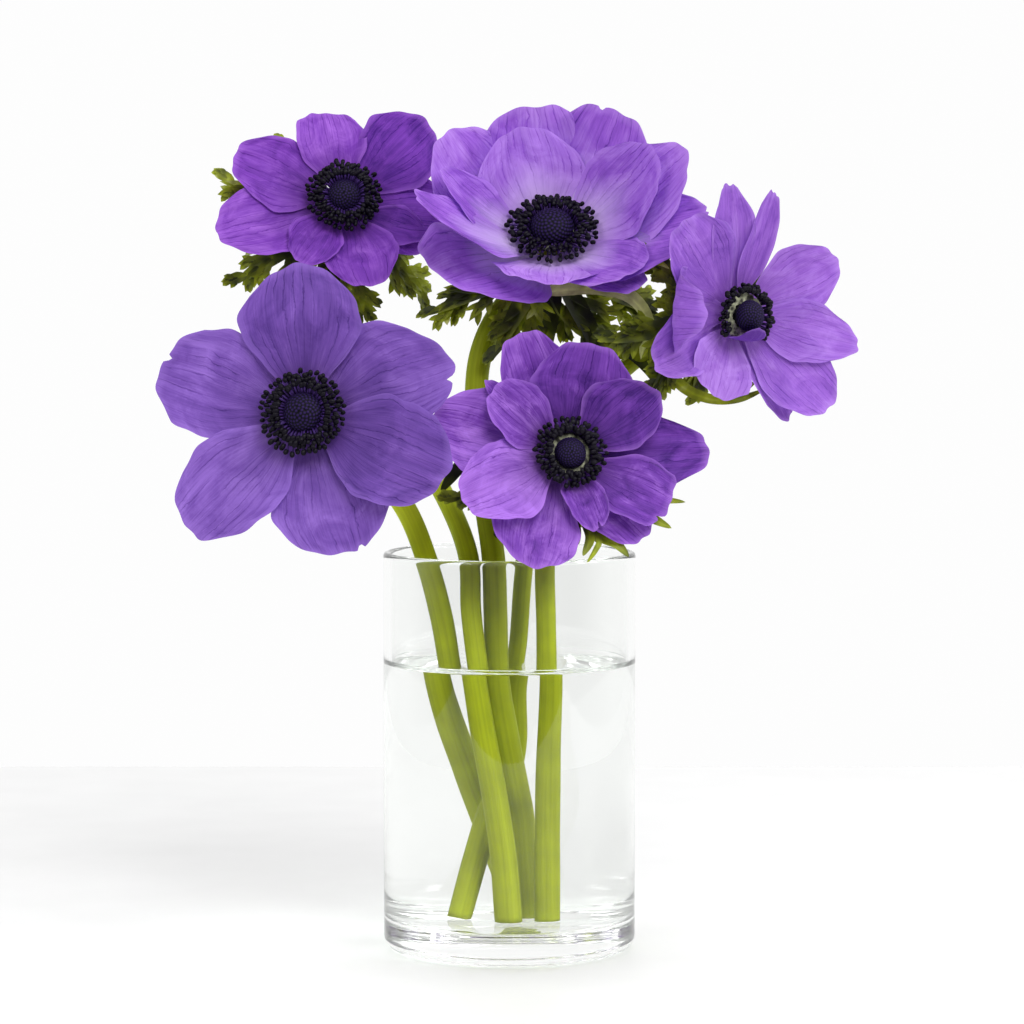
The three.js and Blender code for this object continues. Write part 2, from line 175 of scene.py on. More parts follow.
# The faces of the inside up to the water's edge are wetted glass.
for face in vase.data.polygons:
    radius = math.hypot(face.center.x, face.center.y) * 1000
    in_the_water = BASE_THICKNESS - 0.5 < face.center.z * 1000 < WATER_EDGE and radius < inner + 0.3
    face.material_index = 1 if in_the_water else 0


# The water: still and clear, nearly three quarters of the way up the vase. It wets the glass and
# climbs it in a narrow curved edge, so only its top surface shows, and its sides are the glass.
# Clean tap water: quite clear, with a mirror-smooth surface.
water = clear_material("clear_tap_water", WATER_INDEX, "#FFFFFF", "#FCFDFC")

# The water's sides and underside lie on the glass, so nothing of their own shows.
wet_side, tree, output = start_material("water_against_glass")
unseen = add(tree, "ShaderNodeBsdfTransparent", {"Color": linear("#FFFFFF")})
tree.links.new(unseen.outputs[0], output.inputs["Surface"])

# The water stays this far inside the glass. Its curved edge is a row of places, each so far in
# from the wall and so far below the edge.
SEAT = 0.02
CURVED_EDGE = ((0, 0), (0.1, 0.35), (0.3, 0.75), (0.7, 1.2), (1.4, 1.6), (2.4, 1.86), (3.8, 2.0),
               (4.6, 2.0))
water_points, water_faces = turned(
    [(0, BASE_THICKNESS + SEAT), (20, BASE_THICKNESS + SEAT)]
    + corner(inner - INNER_FILLET, BASE_THICKNESS + INNER_FILLET, INNER_FILLET - SEAT, -90, 0)
    + [(inner - SEAT, z) for z in (40, 70, WATER_EDGE - NEAR_CORNER)]
    + [(inner - inward, WATER_EDGE - below) for inward, below in CURVED_EDGE]
    + [(20, WATER_LEVEL), (0, WATER_LEVEL)])
pool = make_piece("vase_water", water_points, water_faces, water, ["water"])
pool.data.materials.append(wet_side)
for face in pool.data.polygons:
    on_top = face.normal.z > 0.05 and face.center.z * 1000 > WATER_LEVEL - 0.3
    face.material_index = 0 if on_top else 1


# The stems: five smooth, fleshy flower stalks, each cut flat where it stands on the floor of the
# vase. They lean and cross in the water and bend at the top to carry the flowers' heads, and each
# widens there into the small green disc that the petals are set in.
# at is the middle of a flower's disc, yaw turns its face to the right and tilt turns it up, thick
# is the radius of its stalk, and the pair before the route is how light the stalk's green is at its
# foot and its top: painted light and shade for how lit each stalk is, partly its own tone.
STEM_FOOT = BASE_THICKNESS + 0.3
FLOWERS = [
    dict(at=(-62.1, -38, 171), yaw=-8, tilt=12, thick=3.5, light=(0.92, 1.55), route=[
        (2.5, 17, STEM_FOOT), (-1.6, 16, 28), (-4.9, 14.2, 41), (-8, 9.8, 52), (-10.6, 4.5, 61),
        (-14.8, -2, 74.5), (-17.9, -6, 86), (-21.3, -7, 106), (-26, -8, 124), (-33, -9, 141),
        (-47, -12, 158)]),
    dict(at=(-53.7, 28, 237), yaw=8, tilt=22, thick=3.3, light=(0.85, 1.65), route=[
        (-0.2, -6, STEM_FOOT), (-1.5, -8, 31), (-4.1, -11, 53), (-6.8, -14, 70), (-9.2, -16, 87),
        (-11.9, -12, 108), (-13, -4, 125), (-20.5, 8, 143), (-37, 25, 168),
        (-51, 39, 192), (-56.5, 45, 213)]),
    dict(at=(13.5, 8, 224), yaw=0, tilt=42, thick=3.8, light=(0.8, 1.05), route=[
        (3.6, 5, STEM_FOOT), (2.6, 2, 31), (2, 0, 44), (0.9, -4, 53), (-1.6, -7, 70),
        (-3.7, -9, 87), (-4.4, -8, 108), (-5, -5, 124), (-7.5, 2, 141), (-10.6, 9, 172),
        (-8.6, 13, 190), (0, 19, 205)]),
    dict(at=(71.6, -8, 201.1), yaw=32, tilt=-2, thick=2.9, light=(0.9, 0.95), route=[
        (-11.9, 1, STEM_FOOT), (-7.5, 3.5, 31), (-4.1, 5.5, 45.5), (-0.4, 6, 56), (1, 5, 66),
        (1.1, 4.5, 84), (2.8, 4.5, 97), (4.4, 5, 118), (8, 9, 145), (21, 14, 167), (42, 14, 188)]),
    dict(at=(17.8, -28, 157.9), yaw=14, tilt=16, thick=3.2, light=(0.84, 0.95), route=[
        (9.3, -4, STEM_FOOT), (9.6, -8, 38), (10.3, -14, 63), (11.4, -19.5, 87), (11.3, -20, 105),
        (11, -16, 123), (12.4, -8, 138)]),
]


def flower_axes(flower):
    """The flower's own frame: its centre, right and up across the face, and out of the face."""
    yaw, tilt = math.radians(flower["yaw"]), math.radians(flower["tilt"])
    out = np.array([math.sin(yaw) * math.cos(tilt), -math.cos(yaw) * math.cos(tilt), math.sin(tilt)])
    right = np.array([math.cos(yaw), math.sin(yaw), 0.0])
    return np.array(flower["at"], float), right, np.cross(out, right), out


def smooth_route(points, count):
    """count evenly spaced points on a smooth curve through the given ones."""
    points = np.asarray(points, float)
    points = np.vstack([2 * points[0] - points[1], points, 2 * points[-1] - points[-2]])
    curve = []
    for group in zip(points, points[1:], points[2:], points[3:]):
        gaps = [np.linalg.norm(q - p) ** 0.5 for p, q in zip(group, group[1:])]
        knots = np.concatenate([[0], np.cumsum(gaps)])
        for t in np.linspace(knots[1], knots[2], 24, endpoint=False):
            rows = list(group)
            for low, high in (((0, 1, 2), (1, 2, 3)), ((0, 1), (2, 3)), ((1,), (2,))):
                rows = [((knots[q] - t) * rows[k] + (t - knots[p]) * rows[k + 1])
                        / (knots[q] - knots[p]) for k, (p, q) in enumerate(zip(low, high))]
            curve.append(rows[0])
    curve = np.array(curve + [points[-2]])
    travelled = np.concatenate([[0], np.cumsum(np.linalg.norm(np.diff(curve, axis=0), axis=1))])
    wanted = np.linspace(0, travelled[-1], count)
    return np.stack([np.interp(wanted, travelled, curve[:, k]) for k in range(3)], axis=1)


def swept(route, radii, sides, flatten=1.0):
    """Points, faces and map values of a round rod along a route, closed at both ends."""
    route = np.asarray(route, float)
    heading = np.gradient(route, axis=0)
    heading /= np.linalg.norm(heading, axis=1)[:, None]
    side = np.cross(heading[0], (0, 1, 0.3))
    points, values = [], []
    for k, (centre, ahead, radius) in enumerate(zip(route, heading, radii)):
        side = side - ahead * side.dot(ahead)
        side /= np.linalg.norm(side)
        up = np.cross(ahead, side)
        for j in range(sides):
            angle = 2 * math.pi * j / sides
            points.append(centre + radius * (side * math.cos(angle) + flatten * up * math.sin(angle)))
            values.append((j / sides, k / (len(route) - 1)))
    faces = ring_faces(len(route), sides)
    faces.append(tuple(reversed(range(sides))))
    faces.append(tuple(range((len(route) - 1) * sides, len(route) * sides)))
    return points, faces, values


# Fresh flower stalk: yellow-green and waxy, with fine lengthwise ribs about 0.8 mm apart and a
# soft satin gleam. It is olive, and its green changes with height as painted light and shade:
# paler in the water as a painted veil of the water's reflection, lighter just above the rim and
# darker up under the flowers, where their shade falls.
stalk, tree, output = start_material("fresh_green_stalk")
place = add(tree, "ShaderNodeTexCoord")
height = add(tree, "ShaderNodeSeparateXYZ", {0: place.outputs["Object"]})
rise = add(tree, "ShaderNodeMapRange", {0: height.outputs["Z"], 1: 0.0, 2: 0.24})
# Painted light and shade by height: paler in the water, lighter just above the rim, darker under the
# flowers.
green = add(tree, "ShaderNodeValToRGB", {0: rise.outputs[0]}, (
    (0.0, "#98A218"), (0.3, "#8C9608"), (0.42, "#8A9404"), (0.53, "#9AA612"), (0.6, "#A6B222"),
    (0.8, "#8E9A12"), (1.0, "#6C7800")))
along = add(tree, "ShaderNodeUVMap", uv_map="stalk")
ribs_at = add(tree, "ShaderNodeMapping", {0: along.outputs[0], "Scale": (26, 3, 1)})
ribs = add(tree, "ShaderNodeTexNoise", {"Vector": ribs_at.outputs[0], "Scale": 1.0, "Detail": 3.0,
                                        "Roughness": 0.5})
patches = add(tree, "ShaderNodeTexNoise", {"Vector": place.outputs["Object"], "Scale": 90.0,
                                           "Detail": 2.0})
rib_shade = add(tree, "ShaderNodeMapRange", {0: ribs.outputs[0], 1: 0.3, 2: 0.7, 3: 0.82, 4: 1.12})
patch_shade = add(tree, "ShaderNodeMapRange", {0: patches.outputs[0], 1: 0.3, 2: 0.7, 3: 0.9, 4: 1.1})
# Each stalk's lightness at its foot and top: painted light and shade, partly its own tone.
painted_light_map = add(tree, "ShaderNodeUVMap", uv_map="light")
painted_lightness = add(tree, "ShaderNodeSeparateXYZ", {0: painted_light_map.outputs[0]})
both = add(tree, "ShaderNodeMath", {0: rib_shade.outputs[0], 1: patch_shade.outputs[0]},
           operation="MULTIPLY")
shade = add(tree, "ShaderNodeMath", {0: both.outputs[0], 1: painted_lightness.outputs["X"]},
            operation="MULTIPLY")
ribbed = add(tree, "ShaderNodeVectorMath", {0: green.outputs[0], "Scale": shade.outputs[0]},
             operation="SCALE")
relief = add(tree, "ShaderNodeBump", {"Height": ribs.outputs[0], "Strength": 0.35,
                                      "Distance": 0.0004})
skin = add(tree, "ShaderNodeBsdfPrincipled", {
    "Base Color": ribbed.outputs[0], "Normal": relief.outputs[0], "Roughness": 0.55, "IOR": 1.38,
    "Specular IOR Level": 0.2, "Subsurface Weight": 0.12, "Subsurface Radius": (0.7, 1.0, 0.1),
    "Subsurface Scale": 0.001})
tree.links.new(skin.outputs[0], output.inputs["Surface"])

# Depths are behind the middle of the flower's disc. A stalk runs straight from its neck to the
# disc, narrows over its last nine steps and ends in the disc's rings, of these depths and radii.
NECK_DEPTH = 16
DISC_DEPTH = 4.9
DISC_RINGS = ((4.2, 3.7), (3.5, 4.9), (2.6, 5.5), (1.5, 5.6), (0.5, 5.2), (0.1, 4.2))
for number, flower in enumerate(FLOWERS, 1):
    centre, _, _, out = flower_axes(flower)
    top = [tuple(centre - depth * out) for depth in (NECK_DEPTH, DISC_DEPTH)]
    route = smooth_route(flower["route"] + top, 120)
    chance = random.Random(100 + number)
    phase = chance.uniform(0, 6)
    steps = np.linspace(0, 1, len(route))
    radii = flower["thick"] * (1.02 - 0.06 * steps + 0.025 * np.sin(9 * steps + phase)
                               + 0.012 * np.sin(31 * steps + phase))
    radii *= 0.8 + 0.2 * np.clip(np.arange(len(route))[::-1] / 9, 0, 1)
    route = np.vstack([route, [centre - depth * out for depth, _ in DISC_RINGS]])
    radii = np.concatenate([radii, [radius for _, radius in DISC_RINGS]])
    points, faces, values = swept(route, radii, 28)
    points = np.array(points)
    points[:, 2] = np.maximum(points[:, 2], STEM_FOOT)
    # How light this stalk is painted at its foot and its top, for the light and shade that fall on
    # it.
    low, high = flower["light"]
    make_piece(f"stalk_{number}", points, faces, stalk, [f"stem_{number}"],
               {"stalk": values, "light": [(low + (high - low) * v, 0) for _, v in values]})


# The leaves: a whorl of three under each flower, with no stalks of their own, each cut into
# narrow pointed segments like parsley. They are soft and thin, and each bends its own way.
# A leaf is direction round the flower's face, length, slope off the stem and droop of its tip.
WHORL_DEPTH = 11.0
WHORLS = [
    [(88, 32, 6, 14), (208, 30, 4, 18), (330, 32, 2, 16)],
    [(214, 41, -6, 20), (319, 41, -13, 16), (162, 40, 8, 8)],
    [(199, 45, -6, 10), (302, 46, -18, 18), (86, 34, 6, 10)],
    [(254, 28, -6, 10), (188, 38, -4, 10), (20, 28, 4, 10)],
    [(192, 34, 0, 14), (297, 24, 3, 0), (72, 30, 4, 10)],
]

# Each leaf has three lobes. Side segments leave a lobe at these rows, at these angles, and the
# side segments fork again.
LOBE_SPREAD = 42
LOBE_WIDTH, SIDE_WIDTH, FORK_WIDTH = 7.0, 4.2, 2.6
SIDE_SEGMENTS = ((2, 40), (2, -42), (3, 38), (4, -36), (5, 34), (5, -32), (6, 28), (7, -26))

# Long undivided parts of leaves: one arches over in front of flower 3's stem, one curls up beside
# it, one hangs from flower 4 and turns up at its forked end and another lies behind it. Flower 5
# has three narrow tips at its right, four that hang in front of the glass and one at its left.
# Each has its route, width, the way its face looks and its tones from foot to tip, which carry
# painted light and shade.
RIBBONS = {
    # This first part's tones are set high as painted light, where the petals above shade it.
    3: [([(6, 4, 208), (14, -5, 208.5), (28, -11, 209.2), (38, -10, 206.2), (43, -7, 199.5),
          (41.4, -2, 187)], 7.0, (0.1, -0.75, 0.65), (1.5, 1.7)),
        ([(34, -2, 208), (37, -8, 212.6), (39, -10, 216.3), (43, -11, 218), (47.5, -11, 217),
          (50, -10, 215.5)], 4.0, (0.0, -0.8, 0.6), (0.6, 0.9))],
    4: [([(44, 2, 193), (49, -3, 185), (55, -4, 178), (63, -4, 174.6), (72, -2, 174.4),
          (81, 1, 177.5)], 3.8, (0.0, -0.95, 0.3), (0.6, 1.0)),
        ([(66, -3, 174.3), (72, -2, 176.5), (78, 0, 180)], 2.6, (0.0, -0.95, 0.3), (0.7, 1.0)),
        ([(32.1, 13, 193.5), (40.4, 13, 188.3), (46.1, 11, 182), (49.2, 9, 175.1)],
         6.5, (0.1, -0.9, 0.4), (0.2, 0.6))],
    5: [([(22, -16, 152), (40, -12, 150), (50.6, -9.5, 147.6)],
         4.4, (0.1, -0.9, 0.4), (0.3, 0.9)),
        ([(24, -16, 149), (42, -12, 144), (55.4, -9, 142.4)], 3.6, (0.1, -0.9, 0.4), (0.3, 1.0)),
        ([(24, -16, 146), (40, -12, 139.5), (51, -9.5, 134.2)],
         5.0, (0.1, -0.9, 0.4), (0.3, 1.0)),
        ([(24.3, -28, 138.7), (28.5, -32, 133.2), (32.8, -34, 131.2), (36.8, -35, 127.2)],
         4.2, (0.2, -0.95, 0.3), (0.4, 0.95)),
        ([(26.1, -31, 135.9), (27.6, -34, 132.1), (26.3, -35.5, 129.1), (23.8, -36.5, 125.5)],
         2.0, (0.2, -0.95, 0.3), (0.4, 0.9)),
        ([(23, -29, 138.8), (24.8, -33, 132.9), (22.6, -36, 127.6)],
         3.4, (0.1, -0.95, 0.3), (0.3, 0.9)),
        ([(19.3, -29, 140.7), (20.8, -33, 135.4), (21.1, -36, 131)],
         2.8, (0.1, -0.95, 0.3), (0.3, 0.9)),
        ([(-11, -18, 158.6), (-15.3, -20, 154.1), (-18.8, -20, 149.7), (-21.3, -20, 146.3)],
         4.5, (-0.1, -0.9, 0.4), (0.0, 0.5))],
}


def finish_thin_blade(tree, output, colour, relief, surface):
    """Ends the material of a thin blade: its surface, with a quarter of the light from behind."""
    face = add(tree, "ShaderNodeBsdfPrincipled", {"Base Color": colour, "Normal": relief, **surface})
    glow = add(tree, "ShaderNodeBsdfTranslucent", {"Color": colour, "Normal": relief})
    thin = add(tree, "ShaderNodeMixShader", {0: 0.25, 1: face.outputs[0], 2: glow.outputs[0]})
    tree.links.new(thin.outputs[0], output.inputs["Surface"])


# Fresh leaf: dark olive green and dull, near-black at the foot of each leaf as a painted shade under
# the flowers, yellower and brighter towards the tips and in patches about 10 mm across, and thin
# enough to glow where the light is behind it. A vein about 1 mm wide runs along each segment.
leaf, tree, output = start_material("fresh_cut_leaf")
across = add(tree, "ShaderNodeUVMap", uv_map="leaf")
spots = add(tree, "ShaderNodeSeparateXYZ", {0: across.outputs[0]})
place = add(tree, "ShaderNodeTexCoord")
patches = add(tree, "ShaderNodeTexNoise", {"Vector": place.outputs["Object"], "Scale": 100.0,
                                           "Detail": 2.0})
patch = add(tree, "ShaderNodeMapRange", {0: patches.outputs[0], 1: 0.3, 2: 0.7, 3: -0.28, 4: 0.28})
# Near-black at the foot of each leaf, a painted shade under the flowers, lighter to the tips.
tip_tone_and_painted_shade = add(tree, "ShaderNodeMath", {0: spots.outputs["Y"], 1: 0.75, 2: patch.outputs[0]},
          operation="MULTIPLY_ADD")
tone_and_painted_light = add(tree, "ShaderNodeValToRGB", {0: tip_tone_and_painted_shade.outputs[0]}, (
    (0.1, "#0E1200"), (0.42, "#363F02"), (0.8, "#98A41C"), (1.0, "#C8CE80")))
middle = add(tree, "ShaderNodeMath", {0: spots.outputs["X"], 1: 0.5}, operation="SUBTRACT")
beside = add(tree, "ShaderNodeMath", {0: middle.outputs[0]}, operation="ABSOLUTE")
vein = add(tree, "ShaderNodeMapRange", {0: beside.outputs[0], 1: 0.0, 2: 0.16, 3: 1.3, 4: 1.0})
mottle = add(tree, "ShaderNodeTexNoise", {"Vector": place.outputs["Object"], "Scale": 260.0,
                                          "Detail": 4.0})
mottled = add(tree, "ShaderNodeMapRange", {0: mottle.outputs[0], 1: 0.3, 2: 0.7, 3: 0.7, 4: 1.25})
shade = add(tree, "ShaderNodeMath", {0: vein.outputs[0], 1: mottled.outputs[0]}, operation="MULTIPLY")
leaf_green = add(tree, "ShaderNodeVectorMath", {0: tone_and_painted_light.outputs[0], "Scale": shade.outputs[0]},
                 operation="SCALE")
relief = add(tree, "ShaderNodeBump", {"Height": mottle.outputs[0], "Strength": 0.5,
                                      "Distance": 0.0003})
finish_thin_blade(tree, output, leaf_green.outputs[0], relief.outputs[0],
                  {"Roughness": 0.52, "IOR": 1.4})


def turn(vector, axis, angle):
    """A vector turned about a unit axis, by an angle in radians."""
    return (vector * math.cos(angle) + np.cross(axis, vector) * math.sin(angle)
            + axis * axis.dot(vector) * (1 - math.cos(angle)))


def folded_blade(whorl, sections, tones_and_painted_light):
    """Adds a narrow blade to the whorl. Each section is a place with its way across, the rise of
    its edges and its half width, and the last argument gives the tones at the foot and at the tip,
    with painted light and shade in them."""
    first = len(whorl["points"])
    for k, (place, side, rise, half) in enumerate(sections):
        tone_and_painted_light = tones_and_painted_light[0] + (tones_and_painted_light[1] - tones_and_painted_light[0]) * k / (len(sections) - 1)
        for v in (-1, 0, 1):
            whorl["points"].append(place + side * half * v + rise * half * abs(v))
            whorl["values"].append((0.5 + v / 2, tone_and_painted_light))
    for a in range(first, first + 3 * (len(sections) - 1), 3):
        whorl["faces"] += [(a, a + 1, a + 4, a + 3), (a + 1, a + 2, a + 5, a + 4)]


def segment(whorl, start, ahead, face, length, width, curl, tones_and_painted_light, rows):
    """A pointed segment, folded along its middle. Returns its places, for side segments."""
    places, sections = [], []
    for k in range(rows):
        s = k / (rows - 1)
        side = np.cross(ahead, face)
        half = width / 2 * min(1, 0.4 + 2.2 * s) * (1 - s ** 2.6) ** 0.65
        places.append((start, ahead, face))
        sections.append((start, side, face * 0.35, half))
        ahead, face = turn(ahead, side, curl / rows), turn(face, side, curl / rows)
        start = start + ahead * length / (rows - 1)
    folded_blade(whorl, sections, tones_and_painted_light)
    return places


def cut_leaf(whorl, chance, start, ahead, face, length, curl):
    """A leaf of the whorl: three lobes, and on each lobe side segments that fork again."""
    for spread in (-LOBE_SPREAD, 0, LOBE_SPREAD):
        reach = length * (0.82 if spread else 1.0) * chance.uniform(0.94, 1.04)
        heading = turn(ahead, face, math.radians(spread + chance.uniform(-6, 6)))
        bend = curl + chance.uniform(-0.2, 0.2)
        lobe = segment(whorl, start, heading, face, reach, LOBE_WIDTH, bend, (0.0, 1.0), 9)
        for place, angle in SIDE_SEGMENTS:
            origin, along, top = lobe[place]
            heading = turn(along, top, math.radians(angle + chance.uniform(-7, 7)))
            side_length = reach * (0.5 - 0.04 * place) * chance.uniform(0.8, 1.1)
            beside = segment(whorl, origin, heading, top, side_length, SIDE_WIDTH,
                             chance.uniform(-0.8, 0.5), (0.3 + 0.05 * place, 1.0), 7)
            for fork, sign in ((2, 1), (3, -1), (4, 1)):
                origin, along, top = beside[fork]
                heading = turn(along, top, math.radians(sign * chance.uniform(28, 42)))
                segment(whorl, origin, heading, top, side_length * (0.62 - 0.07 * fork), FORK_WIDTH,
                        chance.uniform(-0.6, 0.5), (0.6, 1.0), 5)


def ribbon(whorl, route, width, face, tones_and_painted_light):
    """A long smooth undivided part of a leaf along a route, flat across and narrowed to its end."""
    route = smooth_route(route, 30)
    heading = np.gradient(route, axis=0)
    heading /= np.linalg.norm(heading, axis=1)[:, None]
    sections = []
    for k, (place, ahead) in enumerate(zip(route, heading)):
        s = k / (len(route) - 1)
        side = np.cross(ahead, face)
        half = width / 2 * min(1, 0.5 + 2 * s) * (1 - s ** 3) ** 0.6
        sections.append((place, side / np.linalg.norm(side), np.array(face) * 0.3, half))
    folded_blade(whorl, sections, tones_and_painted_light)


for number, (flower, leaves) in enumerate(zip(FLOWERS, WHORLS), 1):
    centre, right, up, out = flower_axes(flower)
    chance = random.Random(200 + number)
    whorl = dict(points=[], faces=[], values=[])
    for direction, length, slope, droop in leaves:
        angle, rise = math.radians(direction), math.radians(slope)
        away = right * math.cos(angle) + up * math.sin(angle)
        ahead = away * math.cos(rise) + out * math.sin(rise)
        face = out * math.cos(rise) - away * math.sin(rise)
        start = centre - WHORL_DEPTH * out + away * 2.2
        cut_leaf(whorl, chance, start, ahead, face, length, -math.radians(droop))
    for long_part in RIBBONS.get(number, ()):
        ribbon(whorl, *long_part)
    make_piece(f"leaf_whorl_{number}", whorl["points"], whorl["faces"], leaf, (),
               {"leaf": whorl["values"]})


# The petals: thin soft violet blades in two or three layers, each with a narrow root set in the
# flower's small disc. They are cupped, gently waved at the rim and veined from root to tip.
# A petal is direction round the face, length, width, slope off the face at root and tip, and what
# else is its own: tone, how light it is, partly its own tone and partly painted light and shade for
# how it faces the lamps; layer, how far behind the face it starts; widest, how far along; end and
# tip, how full and how rounded it ends; skew and sway, how it leans; tear, where its rim is torn and
# how deep; bend, how late it bends; root, how far out it starts; cup, how hollow.
PETALS = [
    [(94, 42, 38, 14, -4, dict(tone_and_painted_light=0.42, layer=0.4, widest=0.74, end=0.82)),
     (26, 43, 36, 12, -4, dict(tone_and_painted_light=0.54, layer=2.2, widest=0.7, sway=-4, skew=-0.05,
                               tear=(-0.45, 0.05))),
     (-23, 44, 33, 14, -6, dict(tone_and_painted_light=0.42, layer=1.2, widest=0.6, end=0.9)),
     (-71, 40, 37, 10, -8, dict(tone_and_painted_light=0.58, layer=2.8, widest=0.72, end=0.85, tear=(0.25, 0.05))),
     (225, 46, 31, 12, -6, dict(tone_and_painted_light=0.64, layer=1.4, widest=0.65, end=0.85, tip=0.24)),
     (162, 44, 34, 12, -4, dict(tone_and_painted_light=0.55, layer=2.4, end=0.88, tear=(-0.2, 0.05)))],
    [(100, 26, 23, 22, 0, dict(tone_and_painted_light=0.6, layer=0.8, skew=0.06, tip=0.12)),
     (41, 34, 28, 22, 8, dict(tone_and_painted_light=0.3, layer=1.6, widest=0.8, end=0.85)),
     (-12, 32, 25, 20, 4, dict(tone_and_painted_light=0.38, layer=2.6)),
     (-34, 27, 17, 20, 0, dict(tone_and_painted_light=0.34, layer=2.0)),
     (284, 28, 25, 20, 2, dict(layer=1.2)),
     (236, 24, 18, 22, 4, dict(layer=0.2)),
     (198, 40, 26, 18, 8, dict(tone_and_painted_light=0.62, layer=2.2, widest=0.65)),
     (159, 34, 25, 18, 6, dict(layer=1.2, widest=0.62))],
    [(150, 47, 40, 22, 56, dict(tone_and_painted_light=0.6, layer=2.6)),
     (100, 43, 44, 22, 56, dict(tone_and_painted_light=0.6, layer=2.6)),
     (58, 45, 42, 22, 56, dict(layer=2.0, tear=(0.3, 0.03))),
     (16, 50, 36, 20, 54, dict(tone_and_painted_light=0.66, layer=2.6)),
     (344, 51.4, 38, 22, 36, dict(tone_and_painted_light=0.44, layer=1.4, tear=(0.35, 0.03))),
     (112, 35, 36, 28, 62, dict(tone_and_painted_light=0.75, layer=0.8)),
     (172, 42, 20, 26, 60, dict()),
     (25, 41, 34, 26, 54, dict(tone_and_painted_light=0.6, layer=0.8)),
     (203, 61, 23, 32, 60, dict(layer=1.4, end=0.5)),
     (217, 39, 44, 20, 18, dict(layer=3.0, skew=-0.16)),
     (268, 32, 36, 30, 34, dict(tone_and_painted_light=0.72)),
     (312, 38, 30, 26, 30, dict(layer=0.6)),
     (313, 38, 19, 22, 20, dict(layer=2.8))],
    [(103, 38.5, 17, 16, 10, dict(layer=2.2, end=0.5, tip=0.1, widest=0.6)),
     (79, 36, 11, 16, 10, dict(layer=1.2, widest=0.5, end=0.6, tip=0.12)),
     (27, 34.5, 24, 16, 10, dict(tone_and_painted_light=0.58, layer=2.0)),
     (347, 39, 20, 16, 10, dict(tone_and_painted_light=0.6, end=0.7, widest=0.6)),
     (318, 40, 25, 16, 10, dict(layer=2.0)),
     (299, 34, 12, 14, 8, dict(layer=3.4)),
     (243, 24, 24, 20, 10, dict(tone_and_painted_light=0.66, layer=1.2, end=0.9)),
     (200, 36, 22, 20, 10, dict(layer=2.6)),
     (176, 44, 27, 2, 170, dict(layer=0.4, bend=2.5)),
     (134, 36, 28, 18, 8, dict(tone_and_painted_light=0.44, layer=1.8)),
     (266, 16, 12, 40, 150, dict(tone_and_painted_light=-0.1, layer=1.6, root=5.0, cup=1.0))],
    [(110, 37, 26, 18, 8, dict(tone_and_painted_light=0.5, layer=3.4)),
     (166, 41, 29, 16, 6, dict(tone_and_painted_light=0.66, layer=3.4)),
     (234, 34.5, 31, 22, 2, dict(tone_and_painted_light=0.58, layer=3.4, sway=10, end=0.82, tip=0.17)),
     (0, 41, 26, 16, 6, dict(tone_and_painted_light=0.3, layer=3.4, end=0.74, tip=0.28)),
     (309, 31, 20, 16, 6, dict(layer=3.4, end=0.85)),
     (141, 28, 20, 24, 10, dict(tone_and_painted_light=0.6, layer=0.8, end=0.85)),
     (203, 36, 26, 22, 8, dict(tone_and_painted_light=0.78, layer=0.6, widest=0.62)),
     (75, 32, 33, 22, 10, dict(tone_and_painted_light=0.38, layer=1.6)),
     (36, 30, 24, 22, 10, dict(tone_and_painted_light=0.28, layer=0.6, skew=-0.06)),
     (329, 31, 21, 20, 8, dict(tone_and_painted_light=0.45, layer=0.8, end=0.9, tip=0.1, tear=(-0.5, 0.06))),
     (284, 22, 13, 24, 12, dict(layer=0.6, widest=0.5, end=0.9, tear=(0.2, 0.12))),
     (139, 31, 9, 14, 20, dict(layer=2.6))],
]
# Petals this wide and wider are waved in full, and narrower ones less.
WAVY_WIDTH = 26
# Each flower's violet in the shade of its veins, between them and at its palest, which also paints
# the highlight along the rims, and the colour its petals have at the root, with how strong that is:
# darker in flowers 1, 2, 4 and 5, partly their own colour and partly painted shade in the flower's
# middle, and pale in flower 3.
FLOWER_VIOLETS = [
    ("#4A2C7E", "#734DAA", "#9C74D4", "#3A2068", 0.55),
    ("#481980", "#7A3CB2", "#AA6CDC", "#361262", 0.5),
    ("#5A2A98", "#945ACC", "#C494F0", "#E2D0F6", 0.76),
    ("#6A3AA6", "#9560CA", "#BA8CE8", "#7A46B2", 0.4),
    ("#421A76", "#763FAD", "#B67EE8", "#300F5C", 0.6),
]


